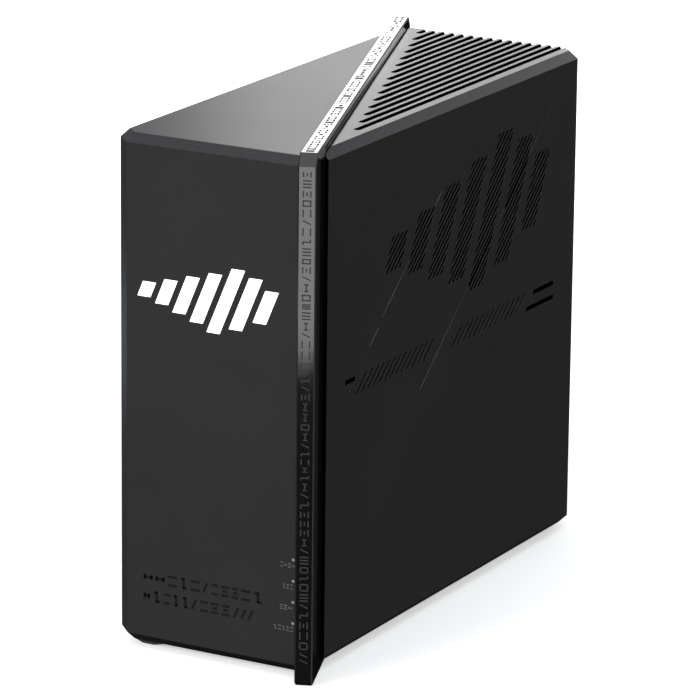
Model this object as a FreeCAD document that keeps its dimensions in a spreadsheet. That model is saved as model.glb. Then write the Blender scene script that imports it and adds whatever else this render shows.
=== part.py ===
"""Desktop wireless router: a tall box split by a proud diagonal band.

Millimetres. +Z is up, +X is the right-hand side seen from the front, and the front face looks
along -Y. The origin is on the standing plane, under the middle of the body. The body is the same
after half a turn about Z: the band runs from the front right corner to the back left corner, over
the top, down both corners and underneath, where it is the ridge that the router stands on.
"""
import FreeCAD, Part
import os

import Sketcher

Vector = FreeCAD.Vector
Rotation = FreeCAD.Rotation

SIZES = [
    # the body
    ("width", 85.4), ("depth", 225.6), ("height", 205.0), ("wall", 2.4),
    ("body_clearance", 2.0), ("corner_cut", 6.6), ("edge_cut", 3.3),
    # the diagonal band
    ("band_proud", 3.0), ("band_flat", 5.9), ("band_bevel", 0.5), ("band_reach", 6.3),
    ("band_end_cut", 4.3), ("band_foot_cut", 1.2), ("band_depth", 9.0),
    ("band_web", 1.6), ("band_web_length", 28.0),
    # the seams where the covers meet the band
    ("seam_gap", 0.25), ("seam_bevel_left", 0.4), ("seam_bevel_right", 1.0), ("tip_cut", 1.34),
    # vents
    ("vent_pitch", 4.45), ("vent_width", 2.8), ("vent_edge", 8.4), ("vent_band_gap", 3.6),
    ("vent_run_out", 1.5), ("floor_vent_x", -32.0), ("floor_vent_y", -62.0),
    ("floor_vent_pitch", 5.5), ("floor_vent_width", 2.4), ("floor_vent_length", 16.0),
    ("louvre_pitch", 3.3), ("louvre_width", 1.4), ("louvre_length", 110.0),
    ("louvre_spare", 30.0),
    # the side ornament, seen from the right
    ("side_emblem_y", 13.0), ("side_emblem_top_gap", 53.0), ("side_emblem_scale", 2.25),
    ("side_slant", 40.0), ("groove_depth", 0.6), ("groove_width", 0.9), ("tick_z", 106.6),
    ("tick_length", 11.0), ("tick_pitch", 4.43), ("tick_width", 1.1),
    # the lit emblem and the status lights in the front face
    ("emblem_x", -1.5), ("emblem_top_gap", 62.0), ("emblem_half_width", 31.0),
    ("emblem_half_height", 13.0), ("emblem_fit", 0.1), ("lens_flange", 1.4), ("lens_margin", 1.2),
    ("light_box_depth", 9.0), ("light_box_wall", 1.2), ("led_board_thick", 1.2),
    ("emblem_led_size", 3.5), ("emblem_led_high", 1.6), ("emblem_led_pitch", 13.0),
    ("emblem_led_row_pitch", 14.0),
    ("status_x", 36.9), ("status_low_z", 21.7), ("status_pitch", 8.4), ("status_radius", 0.55),
    ("status_fit", 0.1), ("status_pipe_length", 8.5), ("status_carrier_thick", 2.0),
    ("status_carrier_left", 6.0), ("status_carrier_right", 1.2), ("status_carrier_spare", 3.0),
    ("status_board_left", 8.0), ("status_led_gap", 0.5), ("status_led_high", 1.0),
    ("status_led_size", 1.6),
    # the circuit board and the frame that carries it
    ("board_x", -6.0), ("board_thick", 1.6), ("board_margin", 1.0), ("board_front_gap", 21.0),
    ("board_back_gap", 15.0), ("board_hole_y", 78.0), ("board_middle_hole_y", 68.0),
    ("board_hole_inset", 6.0), ("standoff", 5.6), ("frame_thick", 2.4), ("frame_tab", 18.0),
    ("frame_rim", 22.0), ("frame_window_low_y", 6.0), ("frame_window_high_y", 60.0),
    ("frame_front_gap", 24.0), ("frame_back_gap", 12.0),
    ("frame_ring_gap", 3.0), ("post_radius", 3.0), ("post_z", 17.5), ("post_top_gap", 26.0),
    ("post_y", 60.0), ("pin_y", 80.0), ("pin_back_y", 30.0), ("pin_radius", 1.6),
    ("screw_radius", 1.25), ("screw_head_radius", 2.6), ("screw_head", 1.6), ("screw_bite", 9.0),
    ("screw_slot_width", 0.7), ("screw_slot_length", 3.0), ("fit", 0.05), ("hole_play", 0.3),
    # cooling
    ("sink_length", 120.0), ("sink_low", 46.0), ("sink_post_gap", 19.0), ("sink_base", 3.0),
    ("sink_air", 9.0), ("fin_thick", 1.6), ("fin_pitch", 8.4), ("fin_inset", 2.0),
    ("fin_root", 0.5), ("chip_thick", 1.4), ("chip_top_gap", 30.0), ("pad_thick", 1.0),
    # shield cans, capacitors and socket transformers
    ("can_sheet", 0.4), ("can_high", 3.0), ("can_long", 20.0), ("can_tall", 34.0),
    ("capacitor_radius", 3.15), ("capacitor_tall", 8.0), ("transformer_high", 5.6),
    ("transformer_deep", 12.0), ("transformer_wide", 15.0), ("transformer_gap", 3.0),
    # sockets and buttons in the back
    ("panel_left", -13.0), ("panel_right", 19.0), ("panel_thick", 1.8), ("panel_recess", 0.6),
    ("panel_foot", 3.2), ("panel_share", 0.36), ("panel_lip", 1.6), ("panel_lip_thick", 1.2),
    ("panel_lap", 0.5), ("panel_fit", 0.15), ("socket_fit", 0.2),
    ("jack_wide", 16.0), ("jack_tall", 13.5), ("jack_deep", 20.5),
    ("plug_wide", 11.8), ("plug_tall", 8.4), ("plug_deep", 14.0), ("latch_wide", 6.2),
    ("latch_tall", 1.6), ("plug_rise", 3.4), ("contact_drop", 1.2), ("contact_thick", 0.4),
    ("contact_wide", 0.45), ("contact_set_back", 5.0), ("light_rise", 1.0),
    ("light_tall", 1.6), ("light_wide", 2.6), ("light_spread", 5.6), ("light_proud", 0.15),
    ("usb_wide", 14.4), ("usb_tall", 6.9), ("usb_deep", 17.5),
    ("usb_sheet", 0.5), ("usb_tongue_wide", 11.2), ("usb_tongue_thick", 1.9),
    ("usb_rise", 0.4), ("usb_root", 5.5), ("usb_tongue_drop", 1.3), ("usb_tongue_back", 1.2),
    ("power_in_wide", 9.0), ("power_in_tall", 11.0),
    ("power_in_deep", 14.0), ("power_in_bore", 2.75), ("power_in_pin", 1.05),
    ("power_in_reach", 9.5),
    ("power_key_size", 6.4), ("power_key_travel", 1.5), ("wps_radius", 3.0), ("wps_travel", 0.8),
    ("reset_radius", 1.2), ("reset_travel", 0.6), ("reset_depth", 1.0),
    ("key_x", 2.0), ("key_play", 0.25), ("key_flange", 1.2), ("key_flange_thick", 1.2),
    ("key_proud", 1.3), ("switch_size", 7.0), ("switch_deep", 5.0), ("plunger_radius", 1.7),
    ("plunger_play", 0.2), ("plunger_grip", 1.6), ("plunger_spare", 0.5), ("switch_leg", 5.0),
    ("key_stem", 3.4), ("key_stem_length", 2.0), ("key_flange_trim", 0.5),
    # free heights between the pieces in the panel, from its lower edge up
    ("wps_gap", 7.5), ("reset_gap", 9.5), ("lan_gap", 6.0), ("jack_gap", 1.0), ("wan_gap", 2.0),
    ("usb_gap", 2.8), ("power_in_gap", 2.3), ("power_key_gap", 3.8), ("panel_head", 3.3),
    # internal aerials, feet and the blank rating label
    ("aerial_thick", 0.8), ("aerial_wide", 12.0), ("aerial_tall", 56.0),
    ("aerial_right_z", 62.0), ("aerial_post_gap", 27.0),
    ("foot_width", 13.0), ("foot_length", 17.0), ("foot_taper", 2.0), ("foot_inset", 1.6),
    ("label_thick", 0.15), ("label_y", 66.0), ("label_wide", 26.0), ("label_long", 24.0),
]

WORKED = [
    ("half_width", "Sizes.width / 2"),
    ("half_depth", "Sizes.depth / 2"),
    ("diagonal", "sqrt(Sizes.width ^ 2 + Sizes.depth ^ 2)"),
    ("lean_sin", "Sizes.width / Worked.diagonal"),
    ("lean_cos", "Sizes.depth / Worked.diagonal"),
    ("inner_x", "Worked.half_width - Sizes.wall"),
    ("inner_y", "Worked.half_depth - Sizes.wall"),
    ("body_top", "Sizes.height - Sizes.band_proud"),
    ("inner_low", "Sizes.body_clearance + Sizes.wall"),
    ("inner_top", "Worked.body_top - Sizes.wall"),
    # the inside of a 45 degree edge, where the wall keeps its thickness round the edge
    ("inner_corner", "Sizes.corner_cut - (2 - sqrt(2)) * Sizes.wall"),
    ("inner_edge", "Sizes.edge_cut - (2 - sqrt(2)) * Sizes.wall"),
    ("band_half", "Sizes.band_flat / 2 + Sizes.band_bevel"),
    ("band_length", "Worked.diagonal + 2 * Sizes.band_reach"),
    # the covers' cut faces lie this far from the band's middle plane
    ("seam", "Worked.band_half + Sizes.seam_gap"),
    ("seam_x", "Worked.half_width - Worked.seam / Worked.lean_cos"),
    ("tip_x", "Worked.half_width - Sizes.tip_cut"),
    ("tip_y", "Worked.half_depth - (Worked.seam + Sizes.tip_cut * Worked.lean_cos) / Worked.lean_sin"),
    ("emblem_z", "Sizes.height - Sizes.emblem_top_gap"),
    ("side_emblem_z", "Sizes.height - Sizes.side_emblem_top_gap"),
    # the heights of what looks out of the back panel, measured from the panel's lower edge
    ("wps_up", "Sizes.wps_gap"),
    ("reset_up", "Worked.wps_up + Sizes.reset_gap"),
    ("lan_up", "Worked.reset_up + Sizes.lan_gap + Sizes.jack_wide / 2"),
    ("lan_pitch", "Sizes.jack_wide + Sizes.jack_gap"),
    ("wan_up", "Worked.lan_up + 3 * Worked.lan_pitch + Sizes.jack_wide + Sizes.wan_gap"),
    ("usb_up", "Worked.wan_up + Sizes.jack_wide / 2 + Sizes.usb_gap + Sizes.usb_wide / 2"),
    ("power_in_up", "Worked.usb_up + Sizes.usb_wide / 2 + Sizes.power_in_gap + Sizes.power_in_wide / 2"),
    ("power_key_up", "Worked.power_in_up + Sizes.power_in_wide / 2 + Sizes.power_key_gap"
                     " + Sizes.power_key_size / 2"),
    ("panel_long", "Worked.power_key_up + Sizes.power_key_size / 2 + Sizes.panel_head"),
    # the panel takes a share of the height that its sockets leave free
    ("panel_low", "Sizes.panel_foot + Sizes.panel_share * (Sizes.height - Worked.panel_long)"),
    ("panel_top", "Worked.panel_low + Worked.panel_long"),
    ("wps_z", "Worked.panel_low + Worked.wps_up"),
    ("reset_z", "Worked.panel_low + Worked.reset_up"),
    ("lan_z", "Worked.panel_low + Worked.lan_up"),
    ("wan_z", "Worked.panel_low + Worked.wan_up"),
    ("usb_z", "Worked.panel_low + Worked.usb_up"),
    ("power_in_z", "Worked.panel_low + Worked.power_in_up"),
    ("power_key_z", "Worked.panel_low + Worked.power_key_up"),
    ("board_low", "Worked.panel_low - Sizes.board_margin"),
    ("board_top", "Worked.panel_top + Sizes.board_margin"),
    ("board_right", "Sizes.board_x + Sizes.board_thick"),
    ("board_front", "Sizes.board_front_gap - Worked.half_depth"),
    ("board_back", "Worked.half_depth - Sizes.board_back_gap"),
    ("frame_right", "Sizes.board_x - Sizes.standoff"),
    ("frame_left", "Worked.frame_right - Sizes.frame_thick"),
    ("frame_low", "Sizes.band_depth + Sizes.frame_ring_gap"),
    ("frame_top", "Sizes.height - Worked.frame_low"),
    ("post_top_z", "Sizes.height - Sizes.post_top_gap"),
    ("sink_high", "Worked.post_top_z - Sizes.sink_post_gap"),
    ("sink_foot", "Worked.board_right + Sizes.chip_thick + Sizes.pad_thick"),
    ("panel_out", "Worked.half_depth - Sizes.panel_recess"),
    ("panel_in", "Worked.panel_out - Sizes.panel_thick"),
    ("jack_front", "Worked.half_depth - Sizes.jack_deep"),
    ("jack_x", "Worked.board_right + Sizes.jack_tall / 2"),
    ("lens_back", "Sizes.wall + Sizes.lens_flange - Worked.half_depth"),
    ("box_back", "Sizes.wall + Sizes.light_box_depth - Worked.half_depth"),
    ("pipe_back", "Sizes.status_pipe_length - Worked.half_depth"),
]

LAN_COUNT = 4
STATUS_COUNT = 4
FIN_COUNT = 14
VENT_COUNT = 15
FLOOR_VENT_COUNT = 8
TICK_COUNT = 13
CONTACT_COUNT = 8
CONTACT_PITCH = 1.02

doc = FreeCAD.newDocument("wireless_router")
nodes = []


# ---------------------------------------------------------------- the sheet of sizes
def make_sheet():
    """The driving sizes, one cell each, and the lengths that follow from them."""
    sheet = doc.addObject("Spreadsheet::Sheet", "Sizes")
    for row, (name, value) in enumerate(SIZES, start=1):
        sheet.set(f"A{row}", name)
        sheet.set(f"B{row}", str(value))
        sheet.setAlias(f"B{row}", name)
    doc.recompute()
    worked = doc.addObject("App::VarSet", "Worked")
    for name, rule in WORKED:
        worked.addProperty("App::PropertyFloat", name)
        worked.setExpression(name, rule)
        doc.recompute()
    return sheet


sheet = make_sheet()


def value(rule):
    """The number that a rule about the sheet stands for now."""
    result = sheet.evalExpression(str(rule))
    return float(getattr(result, "Value", result))


def bind(item, **rules):
    """Tie properties of an object to rules about the sheet."""
    for name, rule in rules.items():
        item.setExpression(name, str(rule))


def place(item, x="0", y="0", z="0", axis=None, angle=None):
    """Put an object at a place given by rules, turned about an axis by a rule for the angle."""
    if axis is not None:
        item.Placement = FreeCAD.Placement(Vector(0, 0, 0), Rotation(Vector(*axis), 1.0))
        item.setExpression("Placement.Rotation.Angle", str(angle))
    item.setExpression("Placement.Base.x", str(x))
    item.setExpression("Placement.Base.y", str(y))
    item.setExpression("Placement.Base.z", str(z))
    return item


# ---------------------------------------------------------------- simple solids
def box(name, x, y, z):
    """A block between two rules on each axis."""
    item = doc.addObject("Part::Box", name)
    bind(item, Length=f"({x[1]}) - ({x[0]})", Width=f"({y[1]}) - ({y[0]})")
    bind(item, Height=f"({z[1]}) - ({z[0]})")
    return place(item, x[0], y[0], z[0])


def around(middle, size):
    """Two rules, half a size to each side of a middle."""
    return (f"({middle}) - ({size}) / 2", f"({middle}) + ({size}) / 2")


AXIS_TURNS = {"X": ((0, 1, 0), 90), "Y": ((1, 0, 0), -90), "Z": ((0, 0, 1), 0)}


def rod(name, radius, length, x, y, z, along="Z"):
    """A cylinder that starts at a point and runs along +X, +Y or +Z."""
    item = doc.addObject("Part::Cylinder", name)
    bind(item, Radius=radius, Height=length)
    axis, angle = AXIS_TURNS[along]
    item.Placement = FreeCAD.Placement(Vector(0, 0, 0), Rotation(Vector(*axis), angle))
    return place(item, x, y, z)


def fuse(name, items):
    item = doc.addObject("Part::MultiFuse", name)
    item.Shapes = items
    return item


def common(name, items):
    item = doc.addObject("Part::MultiCommon", name)
    item.Shapes = items
    return item


def cut(name, base, tools):
    """A base with one or more tools taken out of it."""
    item = doc.addObject("Part::Cut", name)
    item.Base = base
    item.Tool = tools[0] if len(tools) == 1 else fuse(name + "_tools", tools)
    return item


def group(name, items):
    """Separate pieces that share one node."""
    item = doc.addObject("Part::Compound", name)
    item.Links = items
    return item


def half_turned(name, source):
    """A copy turned half a turn about Z, as the body's two halves are."""
    item = doc.addObject("Part::Compound", name)
    item.Links = [source]
    item.Placement = FreeCAD.Placement(Vector(0, 0, 0), Rotation(Vector(0, 0, 1), 180))
    return item


def node(name, item):
    """Name an object as a sub-part, which is written to its own file."""
    item.Label = name
    nodes.append(item)
    return item


# ---------------------------------------------------------------- sketched bodies
def new_body(name):
    return doc.addObject("PartDesign::Body", name)


def new_sketch(body, name, role, offset_z="0"):
    """A sketch on one of the body's own planes, lifted off it by a rule."""
    sketch = body.newObject("Sketcher::SketchObject", name)
    plane = [item for item in body.Origin.OriginFeatures if item.Role == role][0]
    sketch.AttachmentSupport = [(plane, "")]
    sketch.MapMode = "FlatFace"
    sketch.setExpression("AttachmentOffset.Base.z", str(offset_z))
    return sketch


def draw_polygon(sketch, points):
    """A closed outline whose corners are bound to rules."""
    first = sketch.GeometryCount
    spots = [Vector(value(across), value(up), 0) for across, up in points]
    count = len(spots)
    for i in range(count):
        sketch.addGeometry(Part.LineSegment(spots[i], spots[(i + 1) % count]), False)
    for i in range(count):
        following = (i + 1) % count
        sketch.addConstraint(Sketcher.Constraint("Coincident", first + i, 2, first + following, 1))
    for i, (across, up) in enumerate(points):
        for kind, rule, size in (("DistanceX", across, spots[i].x), ("DistanceY", up, spots[i].y)):
            row = sketch.addConstraint(Sketcher.Constraint(kind, -1, 1, first + i, 1, size))
            sketch.setExpression(f"Constraints[{row}]", str(rule))


def pad(body, sketch, length, symmetric=False):
    feature = body.newObject("PartDesign::Pad", body.Name + "_pad")
    feature.Profile = sketch
    if symmetric:
        feature.SideType = "Symmetric"
    feature.setExpression("Length", str(length))
    doc.recompute()
    return feature


def edges_where(shape, test):
    """Names of the edges whose two end points both pass a test."""
    names = []
    for i, edge in enumerate(shape.Edges, start=1):
        if all(test(vertex.Point) for vertex in edge.Vertexes):
            names.append(f"Edge{i}")
    return names


def chamfer(body, base, names, size, tag):
    feature = body.newObject("PartDesign::Chamfer", f"{body.Name}_{tag}")
    feature.Base = (base, names)
    feature.setExpression("Size", str(size))
    doc.recompute()
    return feature


def prism(name, role, points, length, offset_z="0"):
    """A straight-sided body: an outline on a main plane, padded equally to both sides of it."""
    body = new_body(name)
    sketch = new_sketch(body, name + "_outline", role, offset_z)
    draw_polygon(sketch, points)
    pad(body, sketch, length, symmetric=True)
    return body


# ---------------------------------------------------------------- the two covers
def same(a, b):
    return abs(a - b) < 1e-4


def on_seam(point):
    """Is the point on the face of the front left half that looks at the band?"""
    across = point.x * value("Worked.lean_cos") + point.y * value("Worked.lean_sin")
    return same(across, -value("Worked.seam"))


def plan_solid(name, outline, low, high, is_open, edge_size):
    """An upright block with its top and bottom edges cut at 45 degrees, except the open ones."""
    body = new_body(name)
    sketch = new_sketch(body, name + "_plan", "XY_Plane", low)
    draw_polygon(sketch, outline)
    solid = pad(body, sketch, f"{high} - ({low})")
    levels = (value(low), value(high))
    rims = []
    for edge in edges_where(solid.Shape, lambda point: True):
        ends = [vertex.Point for vertex in solid.Shape.getElement(edge).Vertexes]
        level = same(ends[0].z, ends[1].z) and any(same(ends[0].z, z) for z in levels)
        if level and not all(is_open(point) for point in ends):
            rims.append(edge)
    return body, chamfer(body, solid, rims, edge_size, "rims")


def cover_shell(name, seam_bevel):
    """The front left shell, open towards the band: front, left side, top and floor."""
    def faces_band(point):
        return on_seam(point) or same(point.y, value("Worked.tip_y"))

    body, rims = plan_solid(name + "_block", [
        ("Worked.seam_x", "-Worked.half_depth"),
        ("Sizes.corner_cut - Worked.half_width", "-Worked.half_depth"),
        ("-Worked.half_width", "Sizes.corner_cut - Worked.half_depth"),
        ("-Worked.half_width", "Worked.tip_y"),
        ("-Worked.tip_x", "Worked.tip_y"),
    ], "Sizes.body_clearance", "Worked.body_top", faces_band, "Sizes.edge_cut")

    def on_outside(point):
        flush = (point.z - value("Sizes.body_clearance"), point.z - value("Worked.body_top"),
                 point.y + value("Worked.half_depth"))
        return any(same(gap, 0) for gap in flush)

    mouth = edges_where(rims.Shape, lambda point: on_seam(point) and on_outside(point))
    chamfer(body, rims, mouth, seam_bevel, "seam_bevel")

    def on_diagonal(point):
        return same(point.x * value("Sizes.depth"), -point.y * value("Sizes.width"))

    cavity, _ = plan_solid(name + "_cavity", [
        ("Worked.inner_y * Sizes.width / Sizes.depth", "-Worked.inner_y"),
        ("Worked.inner_corner - Worked.inner_x", "-Worked.inner_y"),
        ("-Worked.inner_x", "Worked.inner_corner - Worked.inner_y"),
        ("-Worked.inner_x", "Worked.inner_x * Sizes.depth / Sizes.width"),
    ], "Worked.inner_low", "Worked.inner_top", on_diagonal, "Worked.inner_edge")
    return cut(name, body, [cavity])


def floor_vents(name):
    """A row of slots across the floor of the front left cover."""
    slots = []
    for i in range(FLOOR_VENT_COUNT):
        middle = f"Sizes.floor_vent_y + {i} * Sizes.floor_vent_pitch"
        slots.append(box(
            f"{name}_{i}", ("Sizes.floor_vent_x", "Sizes.floor_vent_x + Sizes.floor_vent_length"),
            (f"{middle} - Sizes.floor_vent_width / 2", f"{middle} + Sizes.floor_vent_width / 2"),
            ("Sizes.body_clearance - 1", "Worked.inner_low + 1")))
    return slots


BAR_HEIGHTS = (6.0, 10.0, 15.0, 20.0, 26.0, 21.0, 13.0)
BAR_PITCH = 8.6
BAR_WIDTH = 5.8
BAR_LEAN = 0.42


def emblem_outlines(centre, height, scale, inset):
    """Seven leaning bars of rising height in a row, each drawn smaller all round by an inset."""
    shapes = []
    for i, tall in enumerate(BAR_HEIGHTS):
        middle = (i - (len(BAR_HEIGHTS) - 1) / 2) * BAR_PITCH
        corners = []
        for side, end in ((-1, -1), (1, -1), (1, 1), (-1, 1)):
            up = f"{end} * ({scale} * {tall / 2} - {inset})"
            across = (f"{centre} + {scale} * {middle} + {side} * ({scale} * {BAR_WIDTH / 2} - {inset})"
                      f" + {BAR_LEAN} * {up}")
            corners.append((across, f"{height} + {up}"))
        shapes.append(corners)
    return shapes


def emblem_blocks(name, role, centre, height, scale, inset, offset, length):
    """The emblem's bars as prisms that cross a wall."""
    return [
        prism(f"{name}_{i}", role, outline, length, offset)
        for i, outline in enumerate(emblem_outlines(centre, height, scale, inset))
    ]


def status_height(i):
    return f"Sizes.status_low_z + {i} * Sizes.status_pitch"


def cover_pin(name, y, z):
    """A post on the left wall with a thinner end that pushes into the frame."""
    post = rod(name + "_post", "Sizes.post_radius", "Worked.inner_x + Worked.frame_left",
               "-Worked.inner_x", y, z, "X")
    tip = rod(name + "_tip", "Sizes.pin_radius", "Sizes.frame_thick",
              "Worked.frame_left", y, z, "X")
    return [post, tip]


PIN_SPOTS = [("-Sizes.pin_y", "Sizes.post_z"), ("Sizes.pin_back_y", "Sizes.post_z"),
             ("-Sizes.pin_y", "Worked.post_top_z"), ("Sizes.pin_back_y", "Worked.post_top_z")]
POST_SPOTS = [("-Sizes.post_y", "Sizes.post_z"), ("Sizes.post_y", "Sizes.post_z"),
              ("-Sizes.post_y", "Worked.post_top_z"), ("Sizes.post_y", "Worked.post_top_z")]


def front_left_cover():
    shell = cover_shell("front_shell", "Sizes.seam_bevel_left")
    pins = []
    for i, (y, z) in enumerate(PIN_SPOTS):
        pins += cover_pin(f"cover_pin_{i}", y, z)
    solid = fuse("front_cover_solid", [shell] + pins)
    tools = emblem_blocks("emblem_hole", "XZ_Plane", "Sizes.emblem_x", "Worked.emblem_z", "1", "0",
                          "Worked.half_depth", "4 * Sizes.wall")
    for i in range(STATUS_COUNT):
        tools.append(rod(f"status_hole_{i}", "Sizes.status_radius + Sizes.status_fit",
                         "2 * Sizes.wall", "Sizes.status_x", "-Worked.half_depth - 1",
                         status_height(i), "Y"))
    tools += floor_vents("front_floor_vent")
    return node("front_left_cover", cut("front_cover", solid, tools))


def top_vents():
    """Slots in the top that start at one distance from the band and run out of the back edge."""
    slots = []
    for i in range(VENT_COUNT):
        middle = f"(Worked.half_width - Sizes.vent_edge - {i} * Sizes.vent_pitch)"
        nose = (f"(Worked.seam + Sizes.vent_band_gap + Sizes.vent_width - {middle} * Worked.lean_cos)"
                " / Worked.lean_sin")
        back = "(Worked.half_depth - Sizes.edge_cut + Sizes.vent_run_out)"
        low, high = "Worked.inner_top - 1", "Worked.body_top + 1"
        if value(back) - value(nose) < value("Sizes.vent_width") / 2:
            continue
        slots.append(box(f"vent_{i}", (f"{middle} - Sizes.vent_width / 2",
                                       f"{middle} + Sizes.vent_width / 2"),
                         (nose, back), (low, high)))
        slots.append(rod(f"vent_nose_{i}", "Sizes.vent_width / 2", f"{high} - ({low})",
                         middle, nose, low))
    return slots


def slanted_bar(name, y, z, length, width, depth):
    """A slanting groove in the right side, centred at y, z and cut to a depth."""
    item = doc.addObject("Part::Box", name)
    bind(item, Length=f"({depth}) + 1", Width=length, Height=width)
    run, rise = "cos(Sizes.side_slant * 1deg) / 2", "sin(Sizes.side_slant * 1deg) / 2"
    return place(item, f"Worked.half_width - ({depth})",
                 f"({y}) - ({length}) * {run} + ({width}) * {rise}",
                 f"({z}) - ({length}) * {rise} - ({width}) * {run}", (1, 0, 0),
                 "Sizes.side_slant")


def side_louvres():
    """Slanted through slots that fill the emblem's outline on the right side."""
    field = fuse("louvre_field", emblem_blocks(
        "louvre_area", "YZ_Plane", "Sizes.side_emblem_y", "Worked.side_emblem_z",
        "Sizes.side_emblem_scale", "0", "Worked.half_width", "4 * Sizes.wall"))
    bars = []
    reach = value("Sizes.side_emblem_scale * Sizes.emblem_half_width + Sizes.louvre_spare")
    count = int(2 * reach / value("Sizes.louvre_pitch"))
    for i in range(count):
        across = f"Sizes.side_emblem_y + ({i} - {count - 1} / 2) * Sizes.louvre_pitch"
        bars.append(slanted_bar(f"louvre_{i}", across, "Worked.side_emblem_z",
                                "Sizes.louvre_length", "Sizes.louvre_width", "2 * Sizes.wall"))
    return common("louvres", [field, fuse("louvre_bars", bars)])


# the engraving on the right side, in mm along Y and up Z
TICK_ROWS = (-71.5, 5.7)
SIDE_LINES = ((30.0, 138.4, 144.0), (-32.5, 148.5, 61.0), (-62.2, 122.5, 9.4), (-80.7, 106.6, 11.0))
END_BARS = ((108.3, 70.6, 88.4), (102.5, 64.6, 88.4), (108.8, -84.5, -76.9))


def side_grooves():
    """Shallow hatch marks and long thin lines engraved in the right side."""
    grooves = []
    for row, start in enumerate(TICK_ROWS):
        for i in range(TICK_COUNT):
            grooves.append(slanted_bar(
                f"tick_{row}_{i}", f"{start} + {i} * Sizes.tick_pitch", "Sizes.tick_z",
                "Sizes.tick_length", "Sizes.tick_width", "Sizes.groove_depth"))
    for i, (y, z, length) in enumerate(SIDE_LINES):
        grooves.append(slanted_bar(f"line_{i}", y, z, length, "0.6 * Sizes.groove_width",
                                   "Sizes.groove_depth"))
    for i, (z, start, end) in enumerate(END_BARS):
        grooves.append(box(f"end_bar_{i}", ("Worked.half_width - Sizes.groove_depth",
                                            "Worked.half_width + 1"),
                           (start, end), (z, f"{z} + 2 * Sizes.groove_width")))
    return grooves


def panel_window():
    return box("panel_window", ("Sizes.panel_left", "Sizes.panel_right"),
               ("Worked.inner_y - 1", "Worked.half_depth + 1"),
               ("Worked.panel_low", "Worked.panel_top"))


def cover_post(name, y, z):
    """A hollow post that reaches from the right wall to the frame."""
    post = rod(name, "Sizes.post_radius", "Worked.inner_x - Worked.frame_right",
               "Worked.frame_right", y, z, "X")
    pilot = rod(name + "_pilot", "Sizes.screw_radius + Sizes.fit", "Sizes.screw_bite + 1",
                "Worked.frame_right", y, z, "X")
    return post, pilot


def rear_right_cover():
    shell = half_turned("rear_shell", cover_shell("rear_shell_half", "Sizes.seam_bevel_right"))
    pairs = [cover_post(f"cover_post_{i}", y, z) for i, (y, z) in enumerate(POST_SPOTS)]
    solid = fuse("rear_cover_solid", [shell] + [post for post, _ in pairs])
    tools = [pilot for _, pilot in pairs]
    tools += top_vents() + side_grooves()
    tools += [side_louvres(), panel_window()]
    tools.append(half_turned("rear_floor_vents", group("rear_floor_slots",
                                                       floor_vents("rear_floor_vent"))))
    return node("rear_right_cover", cut("rear_cover", solid, tools))


# ---------------------------------------------------------------- the band
def diagonal_band():
    """One closed loop that stands proud of the body on its diagonal."""
    body = new_body("band")
    sketch = new_sketch(body, "band_outline", "XZ_Plane")
    reach = "Worked.band_length / 2"
    foot, end = "Sizes.band_foot_cut", "Sizes.band_end_cut"
    draw_polygon(sketch, [
        (f"-{reach} + {foot}", "0"), (f"{reach} - {foot}", "0"), (reach, foot),
        (reach, f"Sizes.height - {end}"), (f"{reach} - {end}", "Sizes.height"),
        (f"-{reach} + {end}", "Sizes.height"), (f"-{reach}", f"Sizes.height - {end}"),
        (f"-{reach}", foot),
    ])
    inner = "Worked.band_length / 2 - Sizes.band_depth"
    draw_polygon(sketch, [
        (f"-({inner})", "Sizes.band_depth"), (inner, "Sizes.band_depth"),
        (inner, "Sizes.height - Sizes.band_depth"),
        (f"-({inner})", "Sizes.height - Sizes.band_depth"),
    ])
    loop = pad(body, sketch, "2 * Worked.band_half", symmetric=True)
    half, length = value("Worked.band_half"), value("Worked.band_length / 2")
    depth, height = value("Sizes.band_depth"), value("Sizes.height")

    def outer_edge(point):
        inside = abs(point.x) < length - depth + 1e-4 and depth - 1e-4 < point.z < height - depth + 1e-4
        return abs(abs(point.y) - half) < 1e-4 and not inside

    long_edges = [
        edge for edge in edges_where(loop.Shape, outer_edge)
        if abs(loop.Shape.getElement(edge).Vertexes[0].Y
               - loop.Shape.getElement(edge).Vertexes[1].Y) < 1e-4
    ]
    chamfer(body, loop, long_edges, "Sizes.band_bevel", "bevel")
    # a thin wall behind each upright closes the gap where a cover stops short of the corner
    webs = []
    for side, end in (("front", "1"), ("back", "-1")):
        start = f"({end} * ({inner} - Sizes.band_web_length / 2 + 1) - Sizes.band_web_length / 2)"
        face = f"{end} * (Worked.band_half - Sizes.band_web / 2)"
        webs.append(box(f"band_web_{side}",
                        (start, f"{start} + Sizes.band_web_length"),
                        (f"{face} - Sizes.band_web / 2", f"{face} + Sizes.band_web / 2"),
                        ("Sizes.band_depth - 1", "Sizes.height - Sizes.band_depth + 1")))
    band = fuse("band_solid", [body] + webs)
    place(band, axis=(0, 0, -1), angle="atan(Sizes.depth / Sizes.width)")
    return node("diagonal_band", band)


# ---------------------------------------------------------------- the inner frame and the board
BOARD_SPOTS = [
    (f"{side} * Sizes.{reach}", height)
    for reach, height in (("board_hole_y", "Worked.board_low + Sizes.board_hole_inset"),
                          ("board_hole_y", "Worked.board_top - Sizes.board_hole_inset"),
                          ("board_middle_hole_y", "(Worked.board_low + Worked.board_top) / 2"))
    for side in (-1, 1)
]


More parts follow.
